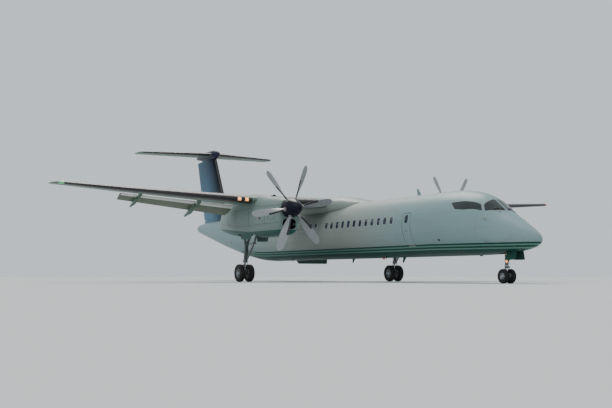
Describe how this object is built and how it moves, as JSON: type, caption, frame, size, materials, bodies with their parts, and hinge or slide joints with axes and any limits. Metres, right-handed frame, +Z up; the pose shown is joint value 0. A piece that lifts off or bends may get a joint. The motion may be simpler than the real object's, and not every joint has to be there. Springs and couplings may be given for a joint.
{
  "type": "twin-turboprop airliner",
  "caption": "High-wing T-tail regional airliner on its landing gear, with turning propellers and wheels, moving flaps and control surfaces, a steering nose leg and a fold-down stair door.",
  "frame": {"origin": "on the ground under the middle of its length and span, with the wheels on z = 0", "axes": "+X forward along the fuselage to the nose, +Y to port, +Z up"},
  "size_m": [32.83, 28.42, 8.34],
  "materials": {
    "upper_paint": "semi-gloss pale grey-green paint",
    "wing_paint": "semi-gloss sage grey paint, dark rubber edge boots",
    "tail_paint": "semi-gloss slate blue paint",
    "belly_paint": "semi-gloss dark green paint",
    "cockpit_glass": "clear laminated glass over a dark cockpit",
    "spinner_paint": "gloss near-black paint",
    "blade_composite": "grey painted composite",
    "gear_steel": "grey enamel on forged steel",
    "wheel_alloy": "machined alloy",
    "tyre": "black tyre rubber",
    "engine_casing": "dark metal casing"
  },
  "bodies": {
    "airframe": {"fuselage": "upper_paint", "radome": "upper_paint", "tail_cone": "upper_paint", "emergency_exit_starboard": "upper_paint", "service_door_aft": "upper_paint", "passenger_door_aft": "upper_paint", "wing_fairing": "upper_paint", "dorsal_fin": "upper_paint", "engine_cowl_port": "upper_paint", "engine_cowl_starboard": "upper_paint", "nacelle_port": "upper_paint", "nacelle_starboard": "upper_paint", "main_gear_door_port": "upper_paint", "main_gear_door_starboard": "upper_paint", "nose_gear_door_port": "upper_paint", "nose_gear_door_starboard": "upper_paint", "wing_centre": "wing_paint", "wing_outer_port": "wing_paint", "wing_outer_starboard": "wing_paint", "tailplane": "wing_paint", "fin": "tail_paint", "tail_bullet": "tail_paint", "belly_strake": "belly_paint", "cockpit_side_window_port": "cockpit_glass", "cockpit_side_window_starboard": "cockpit_glass", "windscreen_port": "cockpit_glass", "windscreen_starboard": "cockpit_glass", "main_leg_port": "gear_steel", "main_leg_starboard": "gear_steel", "main_drag_brace_port": "gear_steel", "main_drag_brace_starboard": "gear_steel", "nose_leg": "gear_steel", "engine_block_port": "engine_casing", "engine_block_starboard": "engine_casing"},
    "boarding_door": {"airstair_door": "upper_paint"},
    "port_propeller": {"propeller_port": "blade_composite", "spinner_port": "spinner_paint"},
    "starboard_propeller": {"propeller_starboard": "blade_composite", "spinner_starboard": "spinner_paint"},
    "port_inner_flap": {"flap_inner_port": "wing_paint"},
    "starboard_inner_flap": {"flap_inner_starboard": "wing_paint"},
    "port_outer_flap": {"flap_outer_port": "wing_paint"},
    "starboard_outer_flap": {"flap_outer_starboard": "wing_paint"},
    "port_aileron": {"aileron_port": "wing_paint"},
    "starboard_aileron": {"aileron_starboard": "wing_paint"},
    "port_elevator": {"elevator_port": "wing_paint"},
    "starboard_elevator": {"elevator_starboard": "wing_paint"},
    "fore_rudder": {"rudder_fore": "tail_paint"},
    "aft_rudder": {"rudder_aft": "tail_paint"},
    "nose_steering": {"nose_steering_leg": "gear_steel"},
    "nose_wheel_pair": {"nose_wheels": "wheel_alloy", "nose_tyre_port": "tyre", "nose_tyre_starboard": "tyre"},
    "port_wheel_pair": {"main_wheels_port": "wheel_alloy", "main_tyre_outer_port": "tyre", "main_tyre_inner_port": "tyre"},
    "starboard_wheel_pair": {"main_wheels_starboard": "wheel_alloy", "main_tyre_outer_starboard": "tyre", "main_tyre_inner_starboard": "tyre"}
  },
  "joints": [
    {"name": "airstair_door_hinge", "type": "hinge", "parent": "airframe", "child": "boarding_door", "pos_m": [10.18, 0.891, 1.437], "axis": [-1, 0, 0], "range_deg": [0, 130]},
    {"name": "propeller_spin_port", "type": "hinge", "parent": "airframe", "child": "port_propeller", "pos_m": [5.335, 4.4, 3.33], "axis": [1, 0, 0], "continuous": true},
    {"name": "propeller_spin_starboard", "type": "hinge", "parent": "airframe", "child": "starboard_propeller", "pos_m": [5.335, -4.4, 3.33], "axis": [1, 0, 0], "continuous": true},
    {"name": "flap_inner_hinge_port", "type": "hinge", "parent": "airframe", "child": "port_inner_flap", "pos_m": [1.0209, 2.56, 3.3116], "axis": [0.003, -1, -0.0014], "range_deg": [-25, 10]},
    {"name": "flap_inner_hinge_starboard", "type": "hinge", "parent": "airframe", "child": "starboard_inner_flap", "pos_m": [1.0209, -2.56, 3.3116], "axis": [-0.003, -1, 0.0014], "range_deg": [-25, 10]},
    {"name": "flap_outer_hinge_port", "type": "hinge", "parent": "airframe", "child": "port_outer_flap", "pos_m": [1.0755, 8.045, 3.5765], "axis": [-0.0211, -0.9959, -0.0884], "range_deg": [-25, 10]},
    {"name": "flap_outer_hinge_starboard", "type": "hinge", "parent": "airframe", "child": "starboard_outer_flap", "pos_m": [1.0755, -8.045, 3.5765], "axis": [0.0211, -0.9959, 0.0884], "range_deg": [-25, 10]},
    {"name": "aileron_hinge_port", "type": "hinge", "parent": "airframe", "child": "port_aileron", "pos_m": [0.9714, 12.39, 4.2511], "axis": [-0.0559, -0.9967, -0.0584], "range_deg": [-20, 20]},
    {"name": "aileron_hinge_starboard", "type": "hinge", "parent": "airframe", "child": "starboard_aileron", "pos_m": [0.9714, -12.39, 4.2511], "axis": [0.0559, -0.9967, 0.0584], "range_deg": [-20, 20]},
    {"name": "elevator_hinge_port", "type": "hinge", "parent": "airframe", "child": "port_elevator", "pos_m": [-15.069, 2.385, 8.06], "axis": [0.0875, -0.9962, 0], "range_deg": [-25, 20]},
    {"name": "elevator_hinge_starboard", "type": "hinge", "parent": "airframe", "child": "starboard_elevator", "pos_m": [-15.069, -2.385, 8.06], "axis": [-0.0875, -0.9962, 0], "range_deg": [-25, 20]},
    {"name": "rudder_fore_hinge", "type": "hinge", "parent": "airframe", "child": "fore_rudder", "pos_m": [-14.5026, 0, 5.7975], "axis": [-0.3581, 0, 0.9337], "range_deg": [-15, 15]},
    {"name": "rudder_aft_hinge", "type": "hinge", "parent": "fore_rudder", "child": "aft_rudder", "pos_m": [-15.0745, 0, 5.7975], "axis": [-0.3311, 0, 0.9436], "range_deg": [-15, 15]},
    {"name": "nose_steer", "type": "hinge", "parent": "airframe", "child": "nose_steering", "pos_m": [14.515, 0, 0.676], "axis": [0, 0, 1], "range_deg": [-70, 70]},
    {"name": "nose_wheels_spin", "type": "hinge", "parent": "nose_steering", "child": "nose_wheel_pair", "pos_m": [14.515, 0, 0.28], "axis": [0, 1, 0], "continuous": true},
    {"name": "main_wheels_spin_port", "type": "hinge", "parent": "airframe", "child": "port_wheel_pair", "pos_m": [0.325, 4.4, 0.43], "axis": [0, 1, 0], "continuous": true},
    {"name": "main_wheels_spin_starboard", "type": "hinge", "parent": "airframe", "child": "starboard_wheel_pair", "pos_m": [0.325, -4.4, 0.43], "axis": [0, 1, 0], "continuous": true}
  ],
  "couplings": [
    {"joint": "flap_inner_hinge_starboard", "follows": "flap_inner_hinge_port", "ratio": 1},
    {"joint": "flap_outer_hinge_port", "follows": "flap_inner_hinge_port", "ratio": 1},
    {"joint": "flap_outer_hinge_starboard", "follows": "flap_inner_hinge_port", "ratio": 1},
    {"joint": "aileron_hinge_starboard", "follows": "aileron_hinge_port", "ratio": -1},
    {"joint": "elevator_hinge_starboard", "follows": "elevator_hinge_port", "ratio": 1},
    {"joint": "rudder_aft_hinge", "follows": "rudder_fore_hinge", "ratio": 1}
  ]
}
